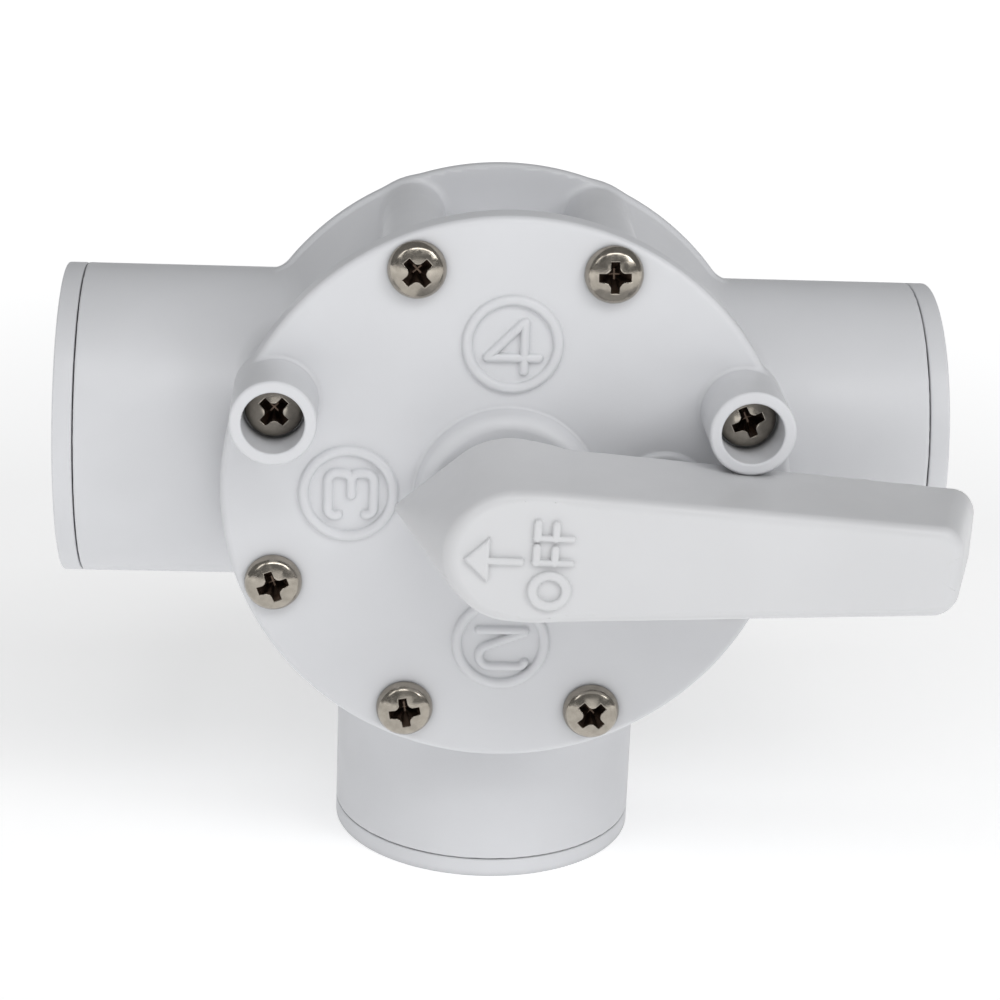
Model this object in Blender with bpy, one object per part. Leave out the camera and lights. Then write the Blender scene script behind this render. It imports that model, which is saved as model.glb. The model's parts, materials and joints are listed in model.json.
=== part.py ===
"""Three way diverter valve for 2 inch plumbing, with a 180 degree lever handle.

The body is a drum with three ports in one plane.  A lid with eight screws closes the drum.  The
stem of the diverter comes out through the lid and carries the handle.  Metres, +Z up.  The stem
lies along Y, with the handle towards -Y, and the common port points down.
"""

import math

import bmesh
import bpy
import numpy as np
from mathutils import Vector

MM = 0.001

# Overall layout.  Every Y below is measured from the plane of the three port axes.
REACH = 102.0 * MM
FRONT_Y = -91.6 * MM
BACK_Y = 42.0 * MM
CENTRE = Vector((0.0, -(FRONT_Y + BACK_Y) / 2, REACH))
GAP = 0.3 * MM
HALFWAY = 1 - math.cos(math.radians(45.0))

# Ports: the outside of 2 1/2 inch pipe, with a slip socket for 2 inch pipe.
PORT_R = 36.5 * MM
SOCKET_R = 30.15 * MM
PASSAGE_R = 26.0 * MM
SOCKET_FLOOR = 59.2 * MM
COLLAR = 4.5 * MM
BARREL_END = REACH - COLLAR - GAP

# Reducer bushes, 2 inch down to 1 1/2 inch.
BUSH_R = SOCKET_R - GAP
BUSH_SOCKET_R = 24.15 * MM
BUSH_BORE_R = 20.5 * MM
BUSH_SOCKET_FLOOR = 68.0 * MM
BUSH_END = SOCKET_FLOOR + 1.0 * MM
RIM_ROUND = 0.6 * MM

# Body drum.
CHAMBER_R = 47.0 * MM
CHAMBER_FLOOR = 36.0 * MM
SEAT_Y = -43.7 * MM
SEAT_T = 4.0 * MM
SEAT_R = 62.2 * MM
BARREL_R = 51.0 * MM
RIB_R = 63.3 * MM
RIB_FRONT = 1.0 * MM
RIB_BACK = 4.2 * MM
WEB_INNER_R = CHAMBER_R + 2.0 * MM
WEB_FRONT_R = 57.0 * MM
WEB_BEND_Y = -22.0 * MM
WEB_BACK_R = 62.6 * MM
OVERLAP = 0.7 * MM
REAR_R = 50.5 * MM
REAR_CHAMFER = 3.5 * MM
PIVOT_HOLE_R = 6.0 * MM
PIVOT_HOLE_END = 39.5 * MM

# Lid.
LID_R = 63.5 * MM
LID_FRONT = -51.0 * MM
LID_BACK = -44.0 * MM
LID_ROUND = 1.7 * MM
SPIGOT_R = 46.6 * MM
SPIGOT_END = -38.5 * MM
GROOVE_R = 43.4 * MM
GROOVE_Y = (-43.0 * MM, -39.4 * MM)
LID_POCKET_R = (19.0 * MM, 40.0 * MM)
LID_POCKET_FLOOR = -44.5 * MM
COLLAR_R = 20.6 * MM
COLLAR_TOP_R = 19.4 * MM
COLLAR_TOP = -56.0 * MM
COLLAR_ROUND = 2.4 * MM

# Lid screws and the two long posts that two of them sit in.
SCREW_COUNT = 8
SCREW_CIRCLE = 55.7 * MM
SCREW_START = math.radians(22.5)
COLUMN_R = 7.3 * MM
SCREW_HOLE_R = 3.4 * MM
SCREW_HOLE_END = -18.0 * MM
SCREW_R = 3.1 * MM
SCREW_TIP = -19.5 * MM
SCREW_POINT_R = 1.4 * MM
SCREW_POINT_H = 2.0 * MM
HEAD_R = 6.45 * MM
HEAD_H = 3.9 * MM
HEAD_SHAPE = ((1.0, 0.0), (1.0, 0.45), (0.9, 0.74), (0.66, 0.92), (0.34, 1.0), (0.0, 1.0))
RECESS_SPAN = 7.6 * MM
RECESS_WIDTH = 1.9 * MM
RECESS_DEPTH = 2.3 * MM
RECESS_TAPER = 0.55
RECESS_TURNS = (25, 2, 43, 47, 20, 10, 43, 15)
POST_SCREWS = (0, 3)
POST_R = 9.4 * MM
POST_TOP = -68.4 * MM
POST_BORE_R = 6.8 * MM
POST_FLOOR = -56.5 * MM

# Position rings and their numbers on the lid.
RING_CENTRE = 35.1 * MM
RING_R = (8.8 * MM, 11.1 * MM)
RELIEF = 0.9 * MM
RELIEF_ROOT = 1.0 * MM
RELIEF_STEP = 0.05 * MM
DIGIT_ANGLES = {4: 90, 3: 180, 2: 270, 1: 0}
DIGIT_WIDTHS = {4: 2.1, 3: 2.2, 2: 2.0, 1: 2.1}

# Diverter and its stem.
STEM_BORE_R = 10.0 * MM
STEM_R = 9.6 * MM
STEM_GROOVE_R = 7.4 * MM
STEM_GROOVE_W = 2.6 * MM
STEM_RINGS_Y = (-43.5 * MM, -50.5 * MM)
STEM_SHOULDER = -57.0 * MM
STEM_TOP = -83.5 * MM
SQUARE = 13.0 * MM
WALL_R = (41.0 * MM, 45.6 * MM)
WALL_HALF_ANGLE = math.radians(46.0)
WALL_HALF_HEIGHT = 33.0 * MM
PLATE_HALF_ANGLE = math.radians(35.0)
PLATE_FACES = (-36.2 * MM, 35.4 * MM)
HUB_PLATE_R = 15.5 * MM
HUB_PLATE_END = 34.5 * MM
PLATE_INNER_R = 2.0 * MM
PIVOT_PLATE_R = 12.0 * MM
PIVOT_PLATE_TOP = 31.0 * MM
PIVOT_R = 5.7 * MM
SEAL_R = (27.0 * MM, 30.4 * MM)
SEAL_SHELL = (44.0 * MM, 46.7 * MM)
SEAL_TUBE = (-60.0 * MM, -20.0 * MM)
SEAL_HALF_ANGLE = math.radians(55.0)
SEAL_HALF_HEIGHT = 40.0 * MM

# Rubber rings.
LID_RING = (45.2 * MM, 1.45 * MM)
STEM_RING = (8.7 * MM, 1.0 * MM)
WASHER_R = (10.1 * MM, 16.0 * MM)
WASHER_Y = (-38.2 * MM, -36.8 * MM)

# Handle.
HANDLE_TOP = FRONT_Y + RELIEF
HANDLE_BOTTOM = -61.0 * MM
HUB_R = 14.5 * MM
HUB_BASE_R = 17.0 * MM
ARM_SHOULDER_X = 9.0 * MM
ARM_END = 94.0 * MM
ARM_END_BASE = 102.6 * MM
ARM_END_HALF = 10.1 * MM
ARM_CORNER = 5.5 * MM
ARM_DRAFT = 0.35 * MM
NOSE_REACH = 25.0 * MM
NOSE_TIP_R = 1.2 * MM
HANDLE_ROUND = 2.6 * MM
HANDLE_MIDDLE = -76.0 * MM
ARM_UNDERSIDE = ((12.0 * MM, -60.6 * MM), (112.0 * MM, -65.2 * MM))
BOSS_R = 12.8 * MM
BOSS_TOP = -64.0 * MM
BOSS_BOTTOM = -56.6 * MM
POCKET_FLOOR = -86.5 * MM
POCKET_CORNER = 2.0 * MM
POCKET_DRAFT = 0.5 * MM
ARM_POCKETS = ((20.0 * MM, 52.0 * MM, 10.2 * MM, 8.8 * MM), (55.0 * MM, 89.5 * MM, 8.6 * MM, 6.8 * MM))
LEAN = math.radians(1.0)
ARROW_HEAD = ((-5.6, -5.1), (-5.6, 4.9), (-10.9, -0.1))

DRUM = 44
BIG = 40
MEDIUM = 20
SMALL = 14


def clear_scene():
    for item in list(bpy.data.objects):
        bpy.data.objects.remove(item)


def plastic(name, colour, roughness=0.42, metallic=0.0):
    material = bpy.data.materials.new(name)
    material.use_nodes = True
    shader = material.node_tree.nodes["Principled BSDF"]
    shader.inputs["Base Color"].default_value = (*colour, 1.0)
    shader.inputs["Roughness"].default_value = roughness
    shader.inputs["Metallic"].default_value = metallic
    return material


def new_object(name, bm):
    """Turn a bmesh into an object with its faces out."""
    bmesh.ops.recalc_face_normals(bm, faces=bm.faces)
    mesh = bpy.data.meshes.new(name)
    bm.to_mesh(mesh)
    bm.free()
    item = bpy.data.objects.new(name, mesh)
    bpy.context.scene.collection.objects.link(item)
    return item


def on_axis(axis, radius, along, angle):
    """A point at a radius and angle about one of the three main axes."""
    first = radius * math.cos(angle)
    second = radius * math.sin(angle)
    if axis == "X":
        return Vector((along, first, second))
    if axis == "Y":
        return Vector((first, along, second))
    return Vector((first, second, along))


def turned(name, profile, axis="Y", steps=BIG, closed=False):
    """Revolve (radius, along) points; a closed profile is a ring, an open one ends on the axis."""
    bm = bmesh.new()
    rings = []
    for radius, along in profile:
        if radius == 0.0:
            rings.append([bm.verts.new(on_axis(axis, 0.0, along, 0.0))] * steps)
            continue
        angles = [2 * math.pi * step / steps for step in range(steps)]
        rings.append([bm.verts.new(on_axis(axis, radius, along, angle)) for angle in angles])
    pairs = list(zip(rings, rings[1:]))
    if closed:
        pairs.append((rings[-1], rings[0]))
    for lower, upper in pairs:
        for step in range(steps):
            after = (step + 1) % steps
            corners = [lower[step], lower[after], upper[after], upper[step]]
            corners = list(dict.fromkeys(corners))
            bm.faces.new(corners)
    return new_object(name, bm)


def rod(name, radius, start, end, axis="Y", steps=MEDIUM):
    return turned(name, [(0.0, start), (radius, start), (radius, end), (0.0, end)], axis, steps)


def tube(name, inner, outer, start, end, axis="Y", steps=BIG):
    profile = [(inner, start), (outer, start), (outer, end), (inner, end)]
    return turned(name, profile, axis, steps, closed=True)


def torus(name, radius, section, along, steps=BIG, around=6):
    """A rubber O-ring about the stem axis."""
    profile = []
    for step in range(around):
        angle = 2 * math.pi * step / around
        profile.append((radius + section * math.cos(angle), along + section * math.sin(angle)))
    return turned(name, profile, "Y", steps, closed=True)


def loft(name, loops):
    """Skin a stack of outlines that have the same number of points, and cap both ends."""
    bm = bmesh.new()
    rings = [[bm.verts.new(point) for point in loop] for loop in loops]
    count = len(rings[0])
    for lower, upper in zip(rings, rings[1:]):
        for step in range(count):
            after = (step + 1) % count
            bm.faces.new([lower[step], lower[after], upper[after], upper[step]])
    bm.faces.new(rings[0])
    bm.faces.new(list(reversed(rings[-1])))
    return new_object(name, bm)


def prism(name, outline, start, end):
    """Extrude an (x, z) outline along Y."""
    return loft(name, [[Vector((x, along, z)) for x, z in outline] for along in (start, end)])


def arc(radius, first, last, steps, centre=(0.0, 0.0)):
    points = []
    for step in range(steps + 1):
        angle = first + (last - first) * step / steps
        points.append((centre[0] + radius * math.cos(angle), centre[1] + radius * math.sin(angle)))
    return points


def sector(name, inner, outer, first, last, start, end, steps):
    """A block between two radii and two angles about the stem axis."""
    outline = arc(outer, first, last, steps) + arc(inner, last, first, steps)
    return prism(name, outline, start, end)


def combine(target, tool, operation):
    """Apply one boolean to the target and drop the tool."""
    modifier = target.modifiers.new(tool.name, "BOOLEAN")
    modifier.operation = operation
    modifier.solver = "EXACT"
    modifier.object = tool
    bpy.context.view_layer.update()
    graph = bpy.context.evaluated_depsgraph_get()
    mesh = bpy.data.meshes.new_from_object(target.evaluated_get(graph))
    target.modifiers.remove(modifier)
    target.data = mesh
    bpy.data.objects.remove(tool)
    return target


def join(target, *tools):
    for tool in tools:
        combine(target, tool, "UNION")
    return target


def cut(target, *tools):
    for tool in tools:
        combine(target, tool, "DIFFERENCE")
    return target


def finish(item, material, parent):
    """Give the piece its material and shading and hang it on its body's empty."""
    bm = bmesh.new()
    bm.from_mesh(item.data)
    bmesh.ops.remove_doubles(bm, verts=bm.verts, dist=0.002 * MM)
    bmesh.ops.dissolve_degenerate(bm, edges=bm.edges, dist=0.002 * MM)
    bm.to_mesh(item.data)
    bm.free()
    item.data.name = item.name
    item.data.materials.clear()
    item.data.materials.append(material)
    item.data.shade_smooth()
    item.data.set_sharp_from_angle(angle=math.radians(35.0))
    item.parent = parent
    return item


def screw_angle(index):
    return SCREW_START + 2 * math.pi * index / SCREW_COUNT


def screw_place(index):
    angle = screw_angle(index)
    return SCREW_CIRCLE * math.cos(angle), SCREW_CIRCLE * math.sin(angle)


def moved(item, x, z):
    """Shift the mesh sideways, off the stem axis."""
    for vertex in item.data.vertices:
        vertex.co.x += x
        vertex.co.z += z
    return item


def valve_body():
    """Drum, web with its top recess, screw columns and ports, then everything that is hollow."""
    body = turned("valve_body", [
        (0.0, SEAT_Y), (SEAT_R, SEAT_Y), (SEAT_R, SEAT_Y + SEAT_T), (BARREL_R, SEAT_Y + SEAT_T),
        (BARREL_R, RIB_FRONT), (RIB_R, RIB_FRONT), (RIB_R, RIB_BACK), (REAR_R, RIB_BACK),
        (REAR_R, BACK_Y - REAR_CHAMFER), (REAR_R - REAR_CHAMFER, BACK_Y), (0.0, BACK_Y),
    ], steps=DRUM)
    front = SEAT_Y + OVERLAP
    back = RIB_FRONT + 2 * OVERLAP
    web = turned("web", [
        (WEB_INNER_R, front), (WEB_FRONT_R, front), (WEB_FRONT_R, WEB_BEND_Y),
        (WEB_BACK_R, RIB_FRONT), (WEB_BACK_R, back), (WEB_INNER_R, back),
    ], closed=True)
    cut(web, sector("top_recess", CHAMBER_R, LID_R, screw_angle(1), screw_angle(2),
                    LID_FRONT, RIB_BACK, MEDIUM))
    join(body, web)
    for index in range(SCREW_COUNT):
        column = rod("column", COLUMN_R, front + OVERLAP, back + OVERLAP)
        join(body, moved(column, *screw_place(index)))
    join(body, rod("cross_barrel", PORT_R, -BARREL_END, BARREL_END, "X", BIG))
    join(body, rod("lower_barrel", PORT_R, -BARREL_END, 0.0, "Z", BIG))
    cut(body, turned("chamber", [
        (0.0, LID_FRONT), (CHAMBER_R, LID_FRONT), (CHAMBER_R, CHAMBER_FLOOR),
        (PIVOT_HOLE_R, CHAMBER_FLOOR), (PIVOT_HOLE_R, PIVOT_HOLE_END), (0.0, PIVOT_HOLE_END),
    ]))
    cut(body, turned("cross_passage", [
        (0.0, -REACH), (SOCKET_R, -REACH), (SOCKET_R, -SOCKET_FLOOR), (PASSAGE_R, -SOCKET_FLOOR),
        (PASSAGE_R, SOCKET_FLOOR), (SOCKET_R, SOCKET_FLOOR), (SOCKET_R, REACH), (0.0, REACH),
    ], "X"))
    cut(body, turned("lower_passage", [
        (0.0, -REACH), (SOCKET_R, -REACH), (SOCKET_R, -SOCKET_FLOOR), (PASSAGE_R, -SOCKET_FLOOR),
        (PASSAGE_R, -CHAMBER_R / 2), (0.0, -CHAMBER_R / 2),
    ], "Z"))
    for index in range(SCREW_COUNT):
        hole = rod("screw_hole", SCREW_HOLE_R, LID_FRONT, SCREW_HOLE_END, steps=SMALL)
        cut(body, moved(hole, *screw_place(index)))
    return body


def reducer(name, axis, side):
    """A 2 inch to 1 1/2 inch bush: a sleeve in the socket and a collar flush with the barrel."""
    collar_back = REACH - COLLAR
    profile = [
        (BUSH_BORE_R, BUSH_END), (BUSH_R, BUSH_END), (BUSH_R, collar_back),
        (PORT_R, collar_back), (PORT_R, REACH - RIM_ROUND), (PORT_R - RIM_ROUND, REACH),
        (BUSH_SOCKET_R, REACH), (BUSH_SOCKET_R, BUSH_SOCKET_FLOOR), (BUSH_BORE_R, BUSH_SOCKET_FLOOR),
    ]
    profile = [(radius, side * along) for radius, along in profile]
    return turned(name, profile, axis, BIG, closed=True)


def stroke(points, width):
    """The two sides of a line of even width, with mitred corners that stay short."""
    last = len(points) - 1
    left = []
    right = []
    for index in range(last + 1):
        here = Vector(points[index])
        incoming = (here - Vector(points[max(index - 1, 0)])).normalized()
        outgoing = (Vector(points[min(index + 1, last)]) - here).normalized()
        if index == 0:
            incoming = outgoing
        if index == last:
            outgoing = incoming
        along = (incoming + outgoing).normalized()
        across = Vector((-along.y, along.x))
        reach = width / 2 / max(along.dot(incoming), 0.5)
        left.append(here + across * reach)
        right.append(here - across * reach)
    return left, right


def raised(points, width, base, height, centre, turn):
    """One raised stroke on a face at y = base, standing out towards -Y."""
    left, right = stroke([(x * MM, z * MM) for x, z in points], width)
    outline = []
    for point in left + list(reversed(right)):
        x = centre[0] + point.x * math.cos(turn) - point.y * math.sin(turn)
        z = centre[1] + point.x * math.sin(turn) + point.y * math.cos(turn)
        outline.append((x, z))
    return prism("stroke", outline, base + RELIEF_ROOT, base - height)


def curve_points(centre, radius, first, last, steps):
    return arc(radius, math.radians(first), math.radians(last), steps, centre)


def digit_strokes():
    """Strokes of 1 to 4, in millimetres about the middle of each number."""
    two = [(-5.7, 4.7), (-5.2, 5.5), (-4.0, 5.8)]
    two += curve_points((2.2, 3.2), 2.6, 90, -58, 5) + [(-4.5, -2.8)]
    three_top = [(-5.2, 2.2), (-4.9, 3.9), (-3.9, 4.5)]
    three_top += curve_points((2.85, 2.6), 1.9, 90, 0, 4)
    three_top += curve_points((2.85, 1.3), 1.9, 0, -90, 4) + [(-0.4, -0.6)]
    three_low = curve_points((2.85, -2.5), 1.9, 110, 0, 4)
    three_low += curve_points((2.85, -3.7), 1.9, 0, -90, 4)
    three_low += [(-3.0, -5.6), (-4.4, -5.2), (-4.9, -4.0)]
    return {
        1: [[(-2.6, 3.6), (0.6, 5.6), (0.6, -5.9)]],
        2: [two, [(-6.2, -3.0), (5.6, -3.0)]],
        3: [three_top, three_low],
        4: [[(2.0, 4.7), (-5.4, -3.0), (5.7, -3.0)], [(2.6, 5.0), (2.6, -6.0)]],
    }


def lid():
    """Round cover with a spigot, the stem collar, two posts and the numbered rings."""
    collar_bend = HALFWAY * COLLAR_ROUND
    lid_bend = HALFWAY * LID_ROUND
    cover = turned("lid", [
        (STEM_BORE_R, COLLAR_TOP), (COLLAR_TOP_R - COLLAR_ROUND, COLLAR_TOP),
        (COLLAR_TOP_R - collar_bend, COLLAR_TOP + collar_bend),
        (COLLAR_TOP_R, COLLAR_TOP + COLLAR_ROUND), (COLLAR_R, LID_FRONT),
        (LID_R - LID_ROUND, LID_FRONT), (LID_R - lid_bend, LID_FRONT + lid_bend),
        (LID_R, LID_FRONT + LID_ROUND), (LID_R, LID_BACK), (SPIGOT_R, LID_BACK),
        (SPIGOT_R, GROOVE_Y[0]), (GROOVE_R, GROOVE_Y[0]), (GROOVE_R, GROOVE_Y[1]),
        (SPIGOT_R, GROOVE_Y[1]), (SPIGOT_R, SPIGOT_END), (LID_POCKET_R[1], SPIGOT_END),
        (LID_POCKET_R[1], LID_POCKET_FLOOR), (LID_POCKET_R[0], LID_POCKET_FLOOR),
        (LID_POCKET_R[0], SPIGOT_END), (STEM_BORE_R, SPIGOT_END),
    ], closed=True)
    for index in POST_SCREWS:
        post = rod("post", POST_R, POST_TOP, LID_BACK - 2 * GAP)
        join(cover, moved(post, *screw_place(index)))
    for index in range(SCREW_COUNT):
        hole = rod("screw_hole", SCREW_HOLE_R, POST_TOP, SEAT_Y, steps=SMALL)
        cut(cover, moved(hole, *screw_place(index)))
    for index in POST_SCREWS:
        bore = rod("post_bore", POST_BORE_R, POST_TOP - MM, POST_FLOOR)
        cut(cover, moved(bore, *screw_place(index)))
    digits = digit_strokes()
    for number, degrees in DIGIT_ANGLES.items():
        turn = math.radians(degrees)
        centre = (RING_CENTRE * math.cos(turn), RING_CENTRE * math.sin(turn))
        ring = tube("ring", *RING_R, LID_FRONT - RELIEF, LID_FRONT + RELIEF_ROOT, steps=MEDIUM)
        join(cover, moved(ring, *centre))
        upright = turn - math.pi / 2
        width = DIGIT_WIDTHS[number] * MM
        for step, points in enumerate(digits[number]):
            height = RELIEF - step * RELIEF_STEP
            join(cover, raised(points, width, LID_FRONT, height, centre, upright))
    return cover


def lid_screw(index):
    """Pan head screw with a cross recess; the two in the posts sit higher and are longer."""
    floor = POST_FLOOR if index in POST_SCREWS else LID_FRONT
    base = floor - GAP
    profile = [(0.0, SCREW_TIP), (SCREW_POINT_R, SCREW_TIP), (SCREW_R, SCREW_TIP - SCREW_POINT_H),
               (SCREW_R, base)]
    profile += [(HEAD_R * across, base - HEAD_H * up) for across, up in HEAD_SHAPE]
    screw = turned("lid_screw_%d" % (index + 1), profile, steps=SMALL)
    turn = math.radians(RECESS_TURNS[index])
    top = base - HEAD_H - MM
    bottom = base - HEAD_H + RECESS_DEPTH
    half = RECESS_SPAN / 2
    wing = RECESS_WIDTH / 2
    outline = []
    for quarter in range(4):
        corner = turn + quarter * math.pi / 2
        for along, across in ((wing, wing), (half, wing), (half, -wing)):
            angle = corner + math.pi / 2
            x = along * math.cos(angle) + across * math.sin(angle)
            z = along * math.sin(angle) - across * math.cos(angle)
            outline.append((x, z))
    tapered = [(x * RECESS_TAPER, z * RECESS_TAPER) for x, z in outline]
    recess = loft("recess", [
        [Vector((x, top, z)) for x, z in outline],
        [Vector((x, bottom, z)) for x, z in tapered],
    ])
    cut(screw, recess)
    return moved(screw, *screw_place(index))


def diverter():
    """Curved wall that closes one port, on two plates with the stem above and a pivot below."""
    left = math.pi
    wall = sector("diverter", *WALL_R, left - WALL_HALF_ANGLE, left + WALL_HALF_ANGLE,
                  -WALL_HALF_HEIGHT, WALL_HALF_HEIGHT, 18)
    plate_edge = (WALL_R[0] + WALL_R[1]) / 2
    for side, outer_face in zip((-1, 1), PLATE_FACES):
        inner_face = side * (WALL_HALF_HEIGHT - MM)
        join(wall, sector("plate", PLATE_INNER_R, plate_edge, left - PLATE_HALF_ANGLE,
                          left + PLATE_HALF_ANGLE, outer_face, inner_face, 14))
    hub_top = WASHER_Y[1] + GAP
    hub_bottom = CHAMBER_FLOOR - GAP
    half = STEM_GROOVE_W / 2
    profile = [(0.0, -HUB_PLATE_END), (HUB_PLATE_R, -HUB_PLATE_END), (HUB_PLATE_R, hub_top),
               (STEM_R, hub_top)]
    for ring_y in STEM_RINGS_Y:
        profile += [(STEM_R, ring_y + half), (STEM_GROOVE_R, ring_y + half),
                    (STEM_GROOVE_R, ring_y - half), (STEM_R, ring_y - half)]
    profile += [(STEM_R, STEM_SHOULDER), (0.0, STEM_SHOULDER)]
    join(wall, turned("stem", profile, steps=40))
    side = SQUARE / 2
    square = [(-side, -side), (side, -side), (side, side), (-side, side)]
    join(wall, prism("square", square, STEM_SHOULDER + 2 * MM, STEM_TOP))
    join(wall, turned("pivot", [
        (0.0, PIVOT_PLATE_TOP), (PIVOT_PLATE_R, PIVOT_PLATE_TOP), (PIVOT_PLATE_R, hub_bottom),
        (PIVOT_R, hub_bottom), (PIVOT_R, PIVOT_HOLE_END - GAP), (0.0, PIVOT_HOLE_END - GAP),
    ], steps=MEDIUM))
    return cut(wall, saddle_ring("seal_groove", (SEAL_R[0] - GAP, SEAL_R[1] + GAP),
                                 (SEAL_SHELL[0] - GAP, SEAL_SHELL[1] + 2 * MM)))


def saddle_ring(name, radii, shell):
    """A ring about the port axis, bent to the curve of the drum."""
    ring = tube(name, *radii, *SEAL_TUBE, "X", 32)
    band = sector("band", *shell, math.pi - SEAL_HALF_ANGLE, math.pi + SEAL_HALF_ANGLE,
                  -SEAL_HALF_HEIGHT, SEAL_HALF_HEIGHT, 22)
    return combine(ring, band, "INTERSECT")


def disc_hull_radius(discs, angles):
    """Distance from the stem axis to the hull of several discs, along each angle."""
    shallow = 0.02
    far = 10.0
    normals = np.radians(np.arange(0.0, 360.0, 0.5))
    supports = [x * np.cos(normals) + z * np.sin(normals) + radius for x, z, radius in discs]
    support = np.max(supports, axis=0)
    facing = np.cos(normals[None, :] - angles[:, None])
    reach = np.where(facing > shallow, support[None, :] / np.maximum(facing, shallow), far)
    return reach.min(axis=1)


def handle_section(along, inset, angles):
    """Outline of the handle at one height: hub and pointer, and the arm, whichever is further."""
    down = (along - HANDLE_TOP) / (HANDLE_BOTTOM - HANDLE_TOP)
    hub = HUB_R + (HUB_BASE_R - HUB_R) * down
    nose = HUB_R * (1 - down) + NOSE_TIP_R * down
    head = [(0.0, 0.0, hub - inset), (-(NOSE_REACH - NOSE_TIP_R) * down, 0.0, nose - inset)]
    draft = ARM_DRAFT * down
    end = ARM_END + (ARM_END_BASE - ARM_END) * down - ARM_CORNER
    side = ARM_END_HALF - ARM_CORNER
    arm = [(0.0, 0.0, HUB_R - inset), (ARM_SHOULDER_X, 0.0, HUB_R + draft - inset)]
    arm += [(end, sign * side, ARM_CORNER + draft - inset) for sign in (-1, 1)]
    radius = np.maximum(disc_hull_radius(head, angles), disc_hull_radius(arm, angles))
    return [Vector((r * math.cos(a), along, r * math.sin(a))) for r, a in zip(radius, angles)]


def handle_angles():
    """Directions about the hub: close together at the arm's end, even round the hub."""
    end = [math.degrees(math.atan2(across, 92.0)) for across in (0, 2, 3.6, 5.2, 6.6, 7.8, 8.8, 9.6)]
    side = [6.6, 7.6, 9.5, 13, 18, 25, 34, 45, 55]
    round_hub = list(range(63, 177, 6)) + [178]
    upper = end[1:] + side + round_hub
    return np.radians([0.0] + upper + [180.0] + [360.0 - angle for angle in reversed(upper)])


def arm_pocket(start, end, half_start, half_end):
    """A tapered pocket under the arm, rounded at its corners."""
    corner = POCKET_CORNER
    mouth = HANDLE_BOTTOM + MM
    loops = []
    for along, shrink in ((mouth, 0.0), (POCKET_FLOOR, POCKET_DRAFT)):
        outline = []
        places = ((end, half_end, 0), (start, half_start, 90), (start, -half_start, 180),
                  (end, -half_end, 270))
        for x, z, first in places:
            inward_x = x - math.copysign(corner, 1 if x == end else -1)
            inward_z = z - math.copysign(corner, z)
            outline += curve_points((inward_x, inward_z), corner - shrink, first, first + 90, 3)
        loops.append([Vector((x, along, z)) for x, z in outline])
    return loft("pocket", loops)


def arm_underside():
    """Wedge below the arm, whose underside rises towards the end."""
    (start, start_y), (end, end_y) = ARM_UNDERSIDE
    outline = [(start, start_y), (end, end_y), (end, BOSS_BOTTOM), (start, BOSS_BOTTOM)]
    return loft("underside", [[Vector((x, y, z)) for x, y in outline]
                              for z in (-BOSS_R * 2, BOSS_R * 2)])


def handle():
    """Lever with a pointer opposite the arm, hollow under the arm, on a square stem."""
    angles = handle_angles()
    levels = [(HANDLE_BOTTOM, 0.0), (HANDLE_MIDDLE, 0.0)]
    for degrees in (0, 30, 60, 90):
        turn = math.radians(degrees)
        along = HANDLE_TOP + HANDLE_ROUND * (1 - math.sin(turn))
        levels.append((along, HANDLE_ROUND * (1 - math.cos(turn))))
    lever = loft("handle", [handle_section(along, inset, angles) for along, inset in levels])
    cut(lever, arm_underside())
    join(lever, rod("boss", BOSS_R, BOSS_TOP, BOSS_BOTTOM))
    cut(lever, rod("stem_clearance", STEM_BORE_R, LID_FRONT, STEM_SHOULDER - GAP))
    side = SQUARE / 2 + GAP
    square = [(-side, -side), (side, -side), (side, side), (-side, side)]
    cut(lever, prism("socket", square, LID_FRONT, STEM_TOP - GAP))
    for pocket in ARM_POCKETS:
        cut(lever, arm_pocket(*pocket))
    for step, (points, width) in enumerate(handle_marks()):
        height = RELIEF - step % 2 * RELIEF_STEP
        join(lever, raised(points, width * MM, HANDLE_TOP, height, (0.0, 0.0), 0.0))
    head = [(x * MM, z * MM) for x, z in ARROW_HEAD]
    relief = RELIEF - 2 * RELIEF_STEP
    join(lever, prism("arrow_head", head, HANDLE_TOP + RELIEF_ROOT, HANDLE_TOP - relief))
    return lever


def handle_marks():
    """The arrow's shaft and the word OFF: strokes and their widths, in millimetres."""
    marks = [([(-6.5, -0.3), (1.0, -0.3)], 1.6)]
    for first in (-97, 83):
        ring = curve_points((0.0, 0.0), 1.0, first, first + 194, 10)
        marks.append(([(7.35 + 3.6 * x, -6.6 + 3.4 * z) for x, z in ring], 2.0))
    for stem in (-0.3, 5.1):
        marks.append(([(3.2, stem), (12.3, stem)], 1.3))
        marks.append(([(4.25, stem - 0.6), (4.25, stem + 4.0)], 1.9))
        marks.append(([(8.1, stem - 0.6), (8.1, stem + 3.8)], 1.8))
    return marks


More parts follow.
